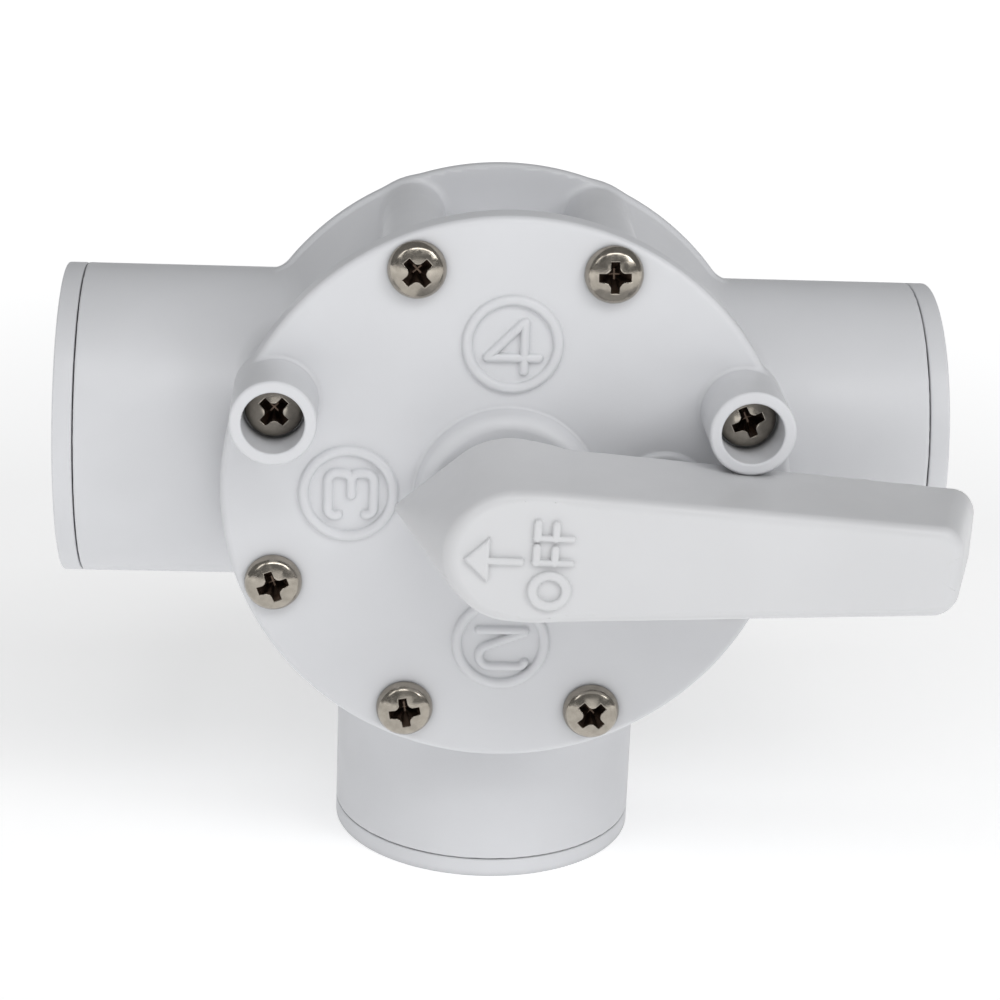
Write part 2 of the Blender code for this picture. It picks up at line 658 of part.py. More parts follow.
def build():
    clear_scene()
    white = plastic("white_plastic", (0.78, 0.79, 0.80))
    grey = plastic("grey_plastic", (0.35, 0.36, 0.37))
    rubber = plastic("black_rubber", (0.02, 0.02, 0.02), 0.6)
    steel = plastic("stainless_steel", (0.62, 0.58, 0.52), 0.3, 1.0)
    ptfe = plastic("washer_plastic", (0.9, 0.9, 0.88), 0.5)

    housing = bpy.data.objects.new("housing_frame", None)
    rotor = bpy.data.objects.new("stem_axis", None)
    for empty in (housing, rotor):
        empty.location = CENTRE
        bpy.context.scene.collection.objects.link(empty)
    rotor.rotation_euler = (0.0, LEAN, 0.0)

    finish(valve_body(), white, housing)
    finish(lid(), white, housing)
    finish(torus("lid_o_ring", *LID_RING, sum(GROOVE_Y) / 2), rubber, housing)
    for name, axis, side in (("reducer_left", "X", -1), ("reducer_right", "X", 1),
                             ("reducer_lower", "Z", -1)):
        finish(reducer(name, axis, side), white, housing)
    for index in range(SCREW_COUNT):
        finish(lid_screw(index), steel, housing)

    finish(diverter(), grey, rotor)
    finish(saddle_ring("diverter_seal", SEAL_R, SEAL_SHELL), rubber, rotor)
    for name, ring_y in zip(("stem_o_ring_lower", "stem_o_ring_upper"), STEM_RINGS_Y):
        finish(torus(name, *STEM_RING, ring_y, 32, 6), rubber, rotor)
    finish(tube("thrust_washer", *WASHER_R, *WASHER_Y, steps=40), ptfe, rotor)
    finish(handle(), white, rotor)


build()
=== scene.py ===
"""The looks of a three way diverter valve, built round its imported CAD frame.

Every shape is worked out in millimetres about the valve's centre, where the three port axes and
the stem cross, and is put in the frame by `settle`.  -Y is towards the handle and +Z is up.
"""

import json
import math

import bpy
import numpy as np
from mathutils import Matrix, Vector


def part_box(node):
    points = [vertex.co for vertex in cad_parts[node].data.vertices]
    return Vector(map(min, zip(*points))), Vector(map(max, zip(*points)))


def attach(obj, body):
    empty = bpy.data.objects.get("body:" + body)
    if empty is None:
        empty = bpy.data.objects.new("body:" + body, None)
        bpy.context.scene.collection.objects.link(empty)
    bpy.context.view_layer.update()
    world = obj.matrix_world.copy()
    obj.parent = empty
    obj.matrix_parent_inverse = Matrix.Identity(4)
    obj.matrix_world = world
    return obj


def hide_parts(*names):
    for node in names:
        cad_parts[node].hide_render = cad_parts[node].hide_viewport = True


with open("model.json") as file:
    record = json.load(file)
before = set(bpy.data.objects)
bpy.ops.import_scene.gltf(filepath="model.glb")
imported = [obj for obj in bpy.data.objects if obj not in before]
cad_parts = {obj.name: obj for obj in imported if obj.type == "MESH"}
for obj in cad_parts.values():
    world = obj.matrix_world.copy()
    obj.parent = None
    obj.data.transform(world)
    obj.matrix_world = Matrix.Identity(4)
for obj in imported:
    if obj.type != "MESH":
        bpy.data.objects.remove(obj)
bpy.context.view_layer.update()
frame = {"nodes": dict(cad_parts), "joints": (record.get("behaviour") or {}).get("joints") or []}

# ---------------------------------------------------------------- sizes, from the frame, in mm

M_TO_MM = 1000.0
joint = frame["joints"][0]
CENTRE = Vector(joint["pos_m"])
LEAN = math.radians(1.0)


def node_box(node):
    """Lowest and highest corner of a CAD node, in millimetres about the valve's centre."""
    low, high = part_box(node)
    return (low - CENTRE) * M_TO_MM, (high - CENTRE) * M_TO_MM


lid_low, lid_high = node_box("lid")
body_low, body_high = node_box("valve_body")
reducer_low, reducer_high = node_box("reducer_right")
handle_low, handle_high = node_box("handle")

PORT_R = (reducer_high.z - reducer_low.z) / 2
REACH = reducer_high.x
BARREL_END = body_high.x
BUSH_END = reducer_low.x
BACK_Y = body_high.y
SEAT_Y = body_low.y
LID_R = lid_high.z
POST_TOP = lid_low.y
SPIGOT_END = lid_high.y
MARK_TOP = handle_low.y
BOSS_BOTTOM = handle_high.y

RELIEF = 0.9
COLLAR = 4.5
SOCKET_R = 30.15
PASSAGE_R = 26.0
SOCKET_FLOOR = 59.2
BUSH_R = 29.85
BUSH_SOCKET_R = 24.15
BUSH_BORE_R = 20.5
BUSH_SOCKET_FLOOR = 68.0

CHAMBER_R = 47.0
CHAMBER_FLOOR = 36.0
CORE_R = 51.0
WEB_FRONT_R = 57.0
WEB_BEND_Y = -22.0
WEB_BACK_R = 62.6
SEAT_R = 62.2
SEAT_T = 4.0
RIB_R = 63.3
RIB_Y = (1.0, 4.2)
REAR_R = 50.5
REAR_ROUND = 3.2
FILLET = 2.6
COLUMN_FILLET = 2.2
RIB_FILLET = 2.0
WEB_FILLET = 1.2
BODY_EDGE = 0.35

LID_FRONT = -51.0
LID_BACK = -44.0
LID_ROUND = 1.7
STEM_BORE_R = 10.0
SPIGOT_R = 46.6
SPIGOT_GROOVE_R = 43.4
SPIGOT_GROOVE_Y = (-43.0, -39.4)
LID_POCKET_R = (19.0, 40.0)
LID_POCKET_FLOOR = -44.5
COLLAR_TOP = -56.0
COLLAR_R = 20.6
COLLAR_DRAFT = 1.2
COLLAR_ROUND = 2.5

SCREW_COUNT = 8
SCREW_CIRCLE = 55.7
COLUMN_R = 7.3
SCREW_HOLE_R = 3.4
SCREW_HOLE_END = -18.0
POST_SCREWS = (0, 3)
POST_R = 9.4
POST_BORE_R = 6.8
POST_FLOOR = -56.5
HEAD_R = 6.45
HEAD_H = 3.9
SHANK_R = 3.1
SCREW_TIP = -19.5
SCREW_GAP = 0.3
CROWN_R = 11.0
RECESS_REACH = 4.2
RECESS_TURNS = (25, 2, 43, 47, 20, 10, 43, 15)

RING_CENTRE = 35.1
RING_MIDDLE = 9.95
RING_HALF = 1.15
LID_RELIEF = 1.1
BEAD_ROUND = 1.0
BEAD_FOOT = 0.3

HANDLE_TOP = MARK_TOP + RELIEF
HANDLE_BOTTOM = -61.0
HUB_R = 14.5
HUB_BASE_R = 17.0
SHOULDER_X = 9.0
ARM_END = 94.0
ARM_END_BASE = 102.6
ARM_HALF = 10.1
ARM_CORNER = 5.5
ARM_UNDERSIDE = ((12.0, -60.6), (112.0, -65.2))
ARM_DRAFT = 0.35
NOSE_REACH = 25.0
NOSE_TIP_R = 1.2
HANDLE_ROUND = 2.6
HANDLE_WALL = 3.0
HANDLE_ROOF = 4.5
POCKET_START = 20.0
POCKET_RIB_X = 53.5
POCKET_RIB_HALF = 1.5
BOSS_R = 12.8
BOSS_TOP = -64.0
SQUARE_HOLE_HALF = 6.8
SQUARE_HOLE_TOP = -83.8
STEM_SHOULDER = -57.0

WALL_R = (41.0, 45.6)
WALL_Y = (-33.0, 33.0)
WALL_HALF_ANGLE = math.radians(46.0)
PLATE_Y = (-36.2, 35.4)
PLATE_INNER_Y = 32.0
PLATE_R = 44.0
PLATE_HALF_ANGLE = math.radians(35.0)
STEM_STEPS = ((15.5, -36.5, -34.5), (12.0, 31.0, 35.7), (5.7, 35.0, 39.2), (9.6, -57.0, -34.0))
SQUARE_HALF = 6.5
SQUARE_Y = (-83.5, -55.0)
SEAL_GROOVE = (26.7, 30.7)
SEAL_GROOVE_R = 43.7
STEM_GROOVES_Y = ((-44.8, -42.2), (-51.8, -49.2))
STEM_GROOVE_R = (7.4, 11.0)
SEAL_TUBE = (27.0, 30.4)
SEAL_R = (44.0, 46.7)

FAR = 1e3


# ---------------------------------------------------------------- distance fields

def meet(first, second, radius=0.0):
    """Where both fields are solid, with a rounded edge."""
    if radius == 0.0:
        return np.maximum(first, second)
    corner = np.hypot(np.maximum(first + radius, 0), np.maximum(second + radius, 0))
    return np.minimum(-radius, np.maximum(first, second)) + corner


def blend(first, second, radius=0.0):
    """Where either field is solid, with a fillet between them."""
    if radius == 0.0:
        return np.minimum(first, second)
    corner = np.hypot(np.maximum(radius - first, 0), np.maximum(radius - second, 0))
    return np.maximum(radius, np.minimum(first, second)) - corner


def carve(solid, hole, radius=0.0):
    return meet(solid, -hole, radius)


def span(along, low, high):
    return np.abs(along - (low + high) / 2) - (high - low) / 2


def drum(radial, along, radius, low, high, edge=0.0):
    """A cylinder between two ends."""
    return meet(radial - radius, span(along, low, high), edge)


def pill(x, z, start, start_r, end, end_r):
    """Hull of two discs; every centre (x, z) and radius may change from point to point."""
    dx, dz = end[0] - start[0], end[1] - start[1]
    gap = np.maximum(np.hypot(dx, dz), 1e-3)
    along = ((x - start[0]) * dx + (z - start[1]) * dz) / gap
    across = np.abs((z - start[1]) * dx - (x - start[0]) * dz) / gap
    slope = np.clip((start_r - end_r) / gap, -0.9999, 0.9999)
    lift = np.sqrt(1 - slope * slope)
    key = lift * along - slope * across
    near = np.hypot(along, across) - start_r
    far = np.hypot(along - gap, across) - end_r
    side = across * lift + along * slope - start_r
    hull = np.where(key < 0, near, np.where(key > lift * gap, far, side))
    return np.where(gap <= np.abs(start_r - end_r) + 1e-3, np.minimum(near, far), hull)


def polyline(x, z, points):
    """Distance to a broken line."""
    nearest = np.full(x.shape, FAR)
    for (x0, z0), (x1, z1) in zip(points, points[1:]):
        dx, dz = x1 - x0, z1 - z0
        share = np.clip(((x - x0) * dx + (z - z0) * dz) / (dx * dx + dz * dz), 0, 1)
        nearest = np.minimum(nearest, np.hypot(x - x0 - share * dx, z - z0 - share * dz))
    return nearest


# ---------------------------------------------------------------- from a field to a mesh

def slopes(field, points, reach=0.01):
    """Unit normals of a field at some points, from four evaluations round each."""
    corners = np.array([(1, -1, -1), (-1, -1, 1), (-1, 1, -1), (1, 1, 1)], float)
    total = np.zeros_like(points)
    for corner in corners:
        moved = points + corner * reach
        total += corner * field(*moved.T)[:, None]
    return total / np.maximum(np.linalg.norm(total, axis=1, keepdims=True), 1e-12)


def sample(field, axes):
    """Field values on a grid, slab by slab."""
    xs, ys, zs = axes
    values = np.empty((len(xs), len(ys), len(zs)), np.float32)
    rows = 12
    for start in range(0, len(xs), rows):
        block = np.meshgrid(xs[start:start + rows], ys, zs, indexing="ij")
        values[start:start + rows] = field(*block)
    return values


def crossings(field, axes, values, step, axis):
    """Points where grid edges along one axis pierce the surface, and the cells beside each."""
    before = [slice(None)] * 3
    after = [slice(None)] * 3
    before[axis] = slice(0, -1)
    after[axis] = slice(1, None)
    first = values[tuple(before)]
    second = values[tuple(after)]
    index = np.argwhere((first < 0) != (second < 0))
    start = np.stack([axes[side][index[:, side]] for side in range(3)], axis=1)
    low_value = first[tuple(index.T)].astype(float)
    high_value = second[tuple(index.T)].astype(float)
    outward = low_value < 0
    low, high = np.zeros(len(index)), np.ones(len(index))
    point = start.copy()
    for _ in range(4):
        share = low + (high - low) * low_value / (low_value - high_value)
        point[:, axis] = start[:, axis] + share * step
        value = field(*point.T)
        same = (value < 0) == (low_value < 0)
        low, low_value = np.where(same, share, low), np.where(same, value, low_value)
        high, high_value = np.where(same, high, share), np.where(same, high_value, value)
        low_value = np.where(low_value == high_value, low_value - 1e-9, low_value)
    return index, point, outward


def contour(name, field, low, high, step):
    """Mesh a field by dual contouring: sharp edges stay sharp, and normals come from the field."""
    counts = [int(math.ceil((high[i] - low[i]) / step)) + 1 for i in range(3)]
    axes = [low[i] + step * np.arange(counts[i]) for i in range(3)]
    values = sample(field, axes)
    cells = np.array(counts) - 1
    strides = np.array([cells[1] * cells[2], cells[2], 1])
    quads, points, ids = [], [], []
    for axis in range(3):
        index, point, outward = crossings(field, axes, values, step, axis)
        u, v = (axis + 1) % 3, (axis + 2) % 3
        ring = []
        for du, dv in ((-1, -1), (0, -1), (0, 0), (-1, 0)):
            cell = index.copy()
            cell[:, u] += du
            cell[:, v] += dv
            ring.append(cell @ strides)
        ring = np.stack(ring, axis=1)
        quads.append(np.where(outward[:, None], ring, ring[:, ::-1]))
        points.append(point)
        ids.append(ring)
    points = np.concatenate(points)
    quads = np.concatenate(quads)
    ids = np.concatenate(ids)
    normals = slopes(field, points)
    used, slot = np.unique(ids.ravel(), return_inverse=True)
    slot = slot.reshape(ids.shape)
    count = np.bincount(slot.ravel(), minlength=len(used)).astype(float)

    def gather(weights):
        return np.bincount(slot.ravel(), np.repeat(weights, 4), len(used))

    middle = np.stack([gather(points[:, i]) for i in range(3)], axis=1) / count[:, None]
    matrix = np.empty((len(used), 3, 3))
    offset = np.empty((len(used), 3))
    plane = np.einsum("ij,ij->i", normals, points)
    for i in range(3):
        offset[:, i] = gather(normals[:, i] * plane)
        for j in range(3):
            matrix[:, i, j] = gather(normals[:, i] * normals[:, j])
    offset -= np.einsum("nij,nj->ni", matrix, middle)
    matrix += 0.04 * np.eye(3)
    vertex = middle + np.linalg.solve(matrix, offset[:, :, None])[:, :, 0]
    cell = np.stack(np.unravel_index(used, cells), axis=1)
    corner = np.array(low)[None, :] + cell * step
    vertex = np.clip(vertex, corner, corner + step)
    faces = np.searchsorted(used, quads)
    return mesh_with_normals(name, vertex, faces, field)


def mesh_with_normals(name, vertex, faces, field):
    """A mesh whose corner normals are the field's, read just inside each face."""
    mesh = bpy.data.meshes.new(name)
    mesh.vertices.add(len(vertex))
    mesh.vertices.foreach_set("co", vertex.ravel())
    mesh.loops.add(faces.size)
    mesh.loops.foreach_set("vertex_index", faces.ravel().astype(np.int32))
    mesh.polygons.add(len(faces))
    mesh.polygons.foreach_set("loop_start", np.arange(0, faces.size, 4, dtype=np.int32))
    mesh.polygons.foreach_set("loop_total", np.full(len(faces), 4, dtype=np.int32))
    mesh.update(calc_edges=True)
    mesh.shade_smooth()
    corners = vertex[faces]
    centres = corners.mean(axis=1, keepdims=True)
    inside = (corners * 0.72 + centres * 0.28).reshape(-1, 3)
    mesh.normals_split_custom_set(slopes(field, inside).tolist())
    item = bpy.data.objects.new(name, mesh)
    bpy.context.scene.collection.objects.link(item)
    return item


def turned(name, profile, axis="Y", steps=192):
    """Revolve a closed (radius, along) outline into a ring."""
    vertices, faces = [], []
    count = len(profile)
    for step in range(steps):
        angle = 2 * math.pi * step / steps
        for radius, along in profile:
            first, second = radius * math.cos(angle), radius * math.sin(angle)
            places = {"X": (along, first, second), "Y": (first, along, second),
                      "Z": (first, second, along)}
            vertices.append(places[axis])
    for step in range(steps):
        after = (step + 1) % steps
        for point in range(count):
            beyond = (point + 1) % count
            faces.append((step * count + point, step * count + beyond,
                          after * count + beyond, after * count + point))
    mesh = bpy.data.meshes.new(name)
    mesh.from_pydata(vertices, [], faces)
    mesh.update()
    item = bpy.data.objects.new(name, mesh)
    bpy.context.scene.collection.objects.link(item)
    face_out(mesh)
    mesh.shade_smooth()
    mesh.set_sharp_from_angle(angle=math.radians(32))
    return item


def face_out(mesh):
    """Turn a closed mesh's faces outwards, which its signed volume tells."""
    mesh.calc_loop_triangles()
    volume = 0.0
    for triangle in mesh.loop_triangles:
        a, b, c = (mesh.vertices[index].co for index in triangle.vertices)
        volume += a.dot(b.cross(c))
    if volume < 0:
        mesh.flip_normals()


def settle(item, material, body, slot, *nodes, lean=False, turn=None):
    place = Matrix.Translation(CENTRE) @ Matrix.Scale(1 / M_TO_MM, 4)
    if lean:
        place = place @ Matrix.Rotation(LEAN, 4, "Y")
    if turn is not None:
        place = place @ turn
    item.data.transform(place)
    item.data.materials.append(material)
    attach(item, body)
    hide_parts(*nodes)
    return item


# ---------------------------------------------------------------- the fixed pieces

def screw_place(index):
    angle = 2 * math.pi * (index + 0.5) / SCREW_COUNT
    return SCREW_CIRCLE * math.cos(angle), SCREW_CIRCLE * math.sin(angle)


def body_field(x, y, z):
    """Drum with a recess between its top screw columns, a rib, a closed back and three ports.

    The hole for the diverter's pivot in the chamber's floor isn't carved here, though the CAD has it.
    """
    radial = np.hypot(x, z)
    column = np.full(radial.shape, FAR)
    hole = np.full(radial.shape, FAR)
    for index in range(SCREW_COUNT):
        place_x, place_z = screw_place(index)
        off = np.hypot(x - place_x, z - place_z)
        column = np.minimum(column, off - COLUMN_R)
        hole = np.minimum(hole, off - SCREW_HOLE_R)
    column = np.maximum(column, span(y, SEAT_Y + 0.7, RIB_Y[1] - 1.0))
    hole = np.maximum(hole, y - SCREW_HOLE_END)
    half = math.pi / SCREW_COUNT
    wedge = np.abs(x) * math.cos(half) - z * math.sin(half)
    recess = np.maximum(np.maximum(CORE_R - radial, wedge), y - RIB_Y[0])
    web_r = np.interp(y, (WEB_BEND_Y, RIB_Y[0]), (WEB_FRONT_R, WEB_BACK_R))
    web = carve(drum(radial, y, web_r, SEAT_Y + 0.3, RIB_Y[1] - 1.0), recess)
    core = drum(radial, y, CORE_R, SEAT_Y, RIB_Y[1])
    rib = drum(radial, y, RIB_R, *RIB_Y, 0.8)
    shell = blend(blend(core, column, COLUMN_FILLET), rib, RIB_FILLET)
    shell = blend(shell, web, WEB_FILLET)
    rear = meet(radial - REAR_R, y - BACK_Y, REAR_ROUND)
    rear = np.maximum(rear, -y)
    shell = blend(shell, rear, FILLET)
    cross = drum(np.hypot(y, z), x, PORT_R, -BARREL_END, BARREL_END, BODY_EDGE)
    lower = drum(np.hypot(x, y), z, PORT_R, -BARREL_END, 0.0, BODY_EDGE)
    solid = blend(shell, np.minimum(cross, lower), FILLET)
    solid = np.minimum(solid, drum(radial, y, SEAT_R, SEAT_Y, SEAT_Y + SEAT_T, 0.5))
    solid = np.maximum(solid, SEAT_Y - y)
    chamber = np.maximum(radial - CHAMBER_R, y - CHAMBER_FLOOR)
    cross_way = np.minimum(np.hypot(y, z) - PASSAGE_R,
                           np.maximum(np.hypot(y, z) - SOCKET_R, SOCKET_FLOOR - np.abs(x)))
    lower_way = np.minimum(np.hypot(x, y) - PASSAGE_R,
                           np.maximum(np.hypot(x, y) - SOCKET_R, SOCKET_FLOOR + z))
    lower_way = np.maximum(lower_way, z)
    hollow = np.minimum(np.minimum(chamber, cross_way), np.minimum(lower_way, hole))
    return carve(solid, hollow, BODY_EDGE)


def bend(centre, radius, first, last, steps=6):
    """Points round an arc, its angles in degrees."""
    angles = np.radians(np.linspace(first, last, steps + 1))
    return [(centre[0] + radius * math.cos(a), centre[1] + radius * math.sin(a)) for a in angles]


DIGITS = {
    4: [[(2.0, 4.7), (-5.4, -3.0), (5.7, -3.0)], [(2.6, 5.0), (2.6, -6.0)]],
    3: [bend((-3.6, 2.9), 1.6, 205, 90) + bend((2.85, 2.6), 1.9, 90, 0)
        + bend((2.85, 1.3), 1.9, 0, -90) + [(-0.4, -0.6)],
        bend((2.85, -2.5), 1.9, 90, 0) + bend((2.85, -3.7), 1.9, 0, -90)
        + bend((-3.3, -4.0), 1.6, 270, 175)],
    2: [bend((-4.1, 4.2), 1.6, 160, 90) + bend((2.2, 3.2), 2.6, 90, -60, 9)
        + [(-5.4, -2.6), (-5.4, -3.0), (5.0, -3.0)]],
    1: [[(-2.6, 3.6), (0.6, 5.6), (0.6, -5.9)]],
}
DIGIT_ANGLES = {4: 90.0, 3: 180.0, 2: 270.0, 1: 0.0}
DIGIT_HALF = {4: 1.05, 3: 1.1, 2: 1.0, 1: 1.05}


def position_marks(x, z):
    """Distance to the nearest ring or number on the lid, less that line's half width."""
    nearest = np.full(x.shape, FAR)
    for number, degrees in DIGIT_ANGLES.items():
        angle = math.radians(degrees)
        out = x * math.cos(angle) + z * math.sin(angle) - RING_CENTRE
        across = x * math.sin(angle) - z * math.cos(angle)
        ring = np.abs(np.hypot(out, across) - RING_MIDDLE) - RING_HALF
        nearest = np.minimum(nearest, ring)
        close = np.hypot(out, across) < RING_MIDDLE
        for points in DIGITS[number]:
            line = polyline(across[close], out[close], points) - DIGIT_HALF[number]
            nearest[close] = np.minimum(nearest[close], line)
    return nearest


def lid_field(x, y, z):
    """Cover with a rounded rim, stem collar, two posts, raised position marks and a spigot."""
    radial = np.hypot(x, z)
    plate = meet(radial - LID_R, LID_FRONT - y, LID_ROUND)
    plate = meet(plate, y - LID_BACK, 0.4)
    rise = (LID_FRONT - y) / (LID_FRONT - COLLAR_TOP)
    collar = meet(radial - COLLAR_R + COLLAR_DRAFT * rise, COLLAR_TOP - y, COLLAR_ROUND)
    collar = np.maximum(collar, y - LID_BACK)
    solid = blend(plate, collar, 0.5)
    hole = np.full(radial.shape, FAR)
    for index in range(SCREW_COUNT):
        place_x, place_z = screw_place(index)
        off = np.hypot(x - place_x, z - place_z)
        hole = np.minimum(hole, off - SCREW_HOLE_R)
        if index in POST_SCREWS:
            post = drum(off, y, POST_R, POST_TOP, LID_BACK, 0.7)
            solid = blend(solid, post, 0.9)
            hole = np.minimum(hole, np.maximum(off - POST_BORE_R, y - POST_FLOOR))
    solid = np.maximum(solid, y - LID_BACK)
    near = np.abs(y - LID_FRONT) < 2.5
    if near.any():
        lift = LID_FRONT - LID_RELIEF - y[near]
        mark = meet(position_marks(x[near], z[near]), lift, BEAD_ROUND)
        mark = np.maximum(mark, y[near] - LID_FRONT - 1.5)
        solid[near] = blend(solid[near], mark, BEAD_FOOT)
    spigot = drum(radial, y, SPIGOT_R, LID_BACK - 1.0, SPIGOT_END, 0.4)
    groove = np.maximum(SPIGOT_GROOVE_R - radial, span(y, *SPIGOT_GROOVE_Y))
    pocket = meet(span(radial, *LID_POCKET_R), LID_POCKET_FLOOR - y, 1.0)
    solid = np.minimum(solid, carve(spigot, groove))
    hole = np.minimum(hole, np.minimum(pocket, radial - STEM_BORE_R))
    return carve(solid, hole, 0.45)


def lid_and_body():
    body_pad = Vector((1.3, 1.3, 1.3))
    body = contour("body_shell", body_field, body_low - body_pad, body_high + body_pad, 0.8)
    settle(body, white, "housing", "body_plastic", "valve_body")
    cover = contour("lid_cover", lid_field, lid_low - body_pad, lid_high + body_pad, 0.5)
    settle(cover, white, "housing", "body_plastic", "lid")


def rounded(corners, radius, steps=5):
    """Round some corners of an outline: each corner is (radius, along, round it or not)."""
    outline = []
    count = len(corners)
    for index, (r, along, soft) in enumerate(corners):
        here = Vector((r, along))
        if not soft:
            outline.append(here)
            continue
        back = (Vector(corners[index - 1][:2]) - here).normalized()
        ahead = (Vector(corners[(index + 1) % count][:2]) - here).normalized()
        start, end = here + back * radius, here + ahead * radius
        for step in range(steps + 1):
            share = step / steps
            outline.append((1 - share) ** 2 * start + 2 * share * (1 - share) * here
                           + share ** 2 * end)
    return [(point.x, point.y) for point in outline]


def reducers():
    """Bushes: a collar flush with the barrel and a sleeve down its socket."""
    back = REACH - COLLAR
    corners = [
        (BUSH_BORE_R, BUSH_END, False), (BUSH_R, BUSH_END, False), (BUSH_R, back, False),
        (PORT_R, back, True), (PORT_R, REACH, True), (BUSH_SOCKET_R, REACH, True),
        (BUSH_SOCKET_R, BUSH_SOCKET_FLOOR, False), (BUSH_BORE_R, BUSH_SOCKET_FLOOR, False),
    ]
    outline = rounded(corners, 0.5)
    for name, axis, side in (("left", "X", -1), ("right", "X", 1), ("lower", "Z", -1)):
        profile = [(radius, side * along) for radius, along in outline]
        bush = turned("bush_" + name, profile, axis)
        settle(bush, white, "housing", "body_plastic", "reducer_" + name)


def dome_depth(x, y, z):
    """How far a point lies below the domed top of a screw's head."""
    return CROWN_R - np.hypot(np.hypot(x, z), y + HEAD_H - CROWN_R)


def screw_field(length):
    """Pan head screw on the Y axis, its head's underside at y = 0 and its top towards -Y."""
    def field(x, y, z):
        radial = np.hypot(x, z)
        head = meet(meet(radial - HEAD_R, -dome_depth(x, y, z), 1.3), y, 0.2)
        shank = meet(radial - SHANK_R, y - length, 0.8)
        shank = np.maximum(shank, -y - 1.0)
        depth = y + HEAD_H
        wing = np.maximum(np.minimum(np.abs(x), np.abs(z)) - 1.05 + 0.2 * depth,
                          np.maximum(np.abs(x), np.abs(z)) - 3.95 + 0.62 * depth)
        heart = radial - 2.1 + 0.55 * depth
        recess = np.maximum(blend(wing, heart, 0.4), depth - 4.4)
        return carve(blend(head, shank, 0.5), recess, 0.14)
    return field


def paint_recess_shade(mesh):
    """Give the faces inside the cross recess the second material, a darker steel that paints shade
    into the recess.
    """
    for polygon in mesh.polygons:
        x, y, z = polygon.center
        inside = math.hypot(x, z) < RECESS_REACH and y < 0.6
        if inside and dome_depth(x, y, z) > 0.22:
            polygon.material_index = 1


def screws():
    """Two lengths of the same screw; each copy is turned to its own angle."""
    models = {}
    for index in range(SCREW_COUNT):
        floor = POST_FLOOR if index in POST_SCREWS else LID_FRONT
        base = floor - SCREW_GAP
        length = SCREW_TIP - base
        if floor not in models:
            low = Vector((-HEAD_R - 0.5, -HEAD_H - 0.5, -HEAD_R - 0.5))
            high = Vector((HEAD_R + 0.5, length + 0.5, HEAD_R + 0.5))
            models[floor] = contour("screw_model", screw_field(length), low, high, 0.2)
            # Faces in the cross recess get painted shade.
            paint_recess_shade(models[floor].data)
        screw = models[floor].copy()
        screw.data = models[floor].data.copy()
        screw.name = "screw_%d" % (index + 1)
        bpy.context.scene.collection.objects.link(screw)
        place_x, place_z = screw_place(index)
        turn = Matrix.Translation((place_x, base, place_z))
        turn = turn @ Matrix.Rotation(-math.radians(RECESS_TURNS[index]), 4, "Y")
        settle(screw, steel, "housing", "screw_steel", "lid_screw_%d" % (index + 1), turn=turn)
        # Second material: darker steel, painted shade in the cross recess.
        screw.data.materials.append(recess_shade_steel)
    for model in models.values():
        bpy.data.objects.remove(model)


# ---------------------------------------------------------------- the turning pieces

def handle_marks(x, z):
    """Distance to the arrow and the word OFF, whose letters' tops point to the pointer."""
    shaft = polyline(x, z, [(-6.5, -0.3), (1.0, -0.3)]) - 0.8
    tip_x, back_x, middle, half = -10.9, -5.6, -0.1, 5.0
    slant = math.hypot(half, back_x - tip_x)
    edge = (np.abs(z - middle) * (back_x - tip_x) - (x - tip_x) * half) / slant
    nearest = np.minimum(shaft, meet(edge, x - back_x, 0.3))
    ring_x, ring_z = (x - 7.35) / 3.6, (z + 6.6) / 3.4
    ring = np.abs(np.hypot(ring_x, ring_z) - 1.0) * 3.5 - 1.0
    nearest = np.minimum(nearest, ring)
    for stem in (-0.3, 5.1):
        upright = polyline(x, z, [(3.9, stem), (11.7, stem)]) - 0.65
        head = polyline(x, z, [(4.25, stem), (4.25, stem + 3.2)]) - 0.9
        arm = polyline(x, z, [(8.1, stem), (8.1, stem + 3.0)]) - 0.85
        nearest = np.minimum(nearest, np.minimum(upright, np.minimum(head, arm)))
    return nearest


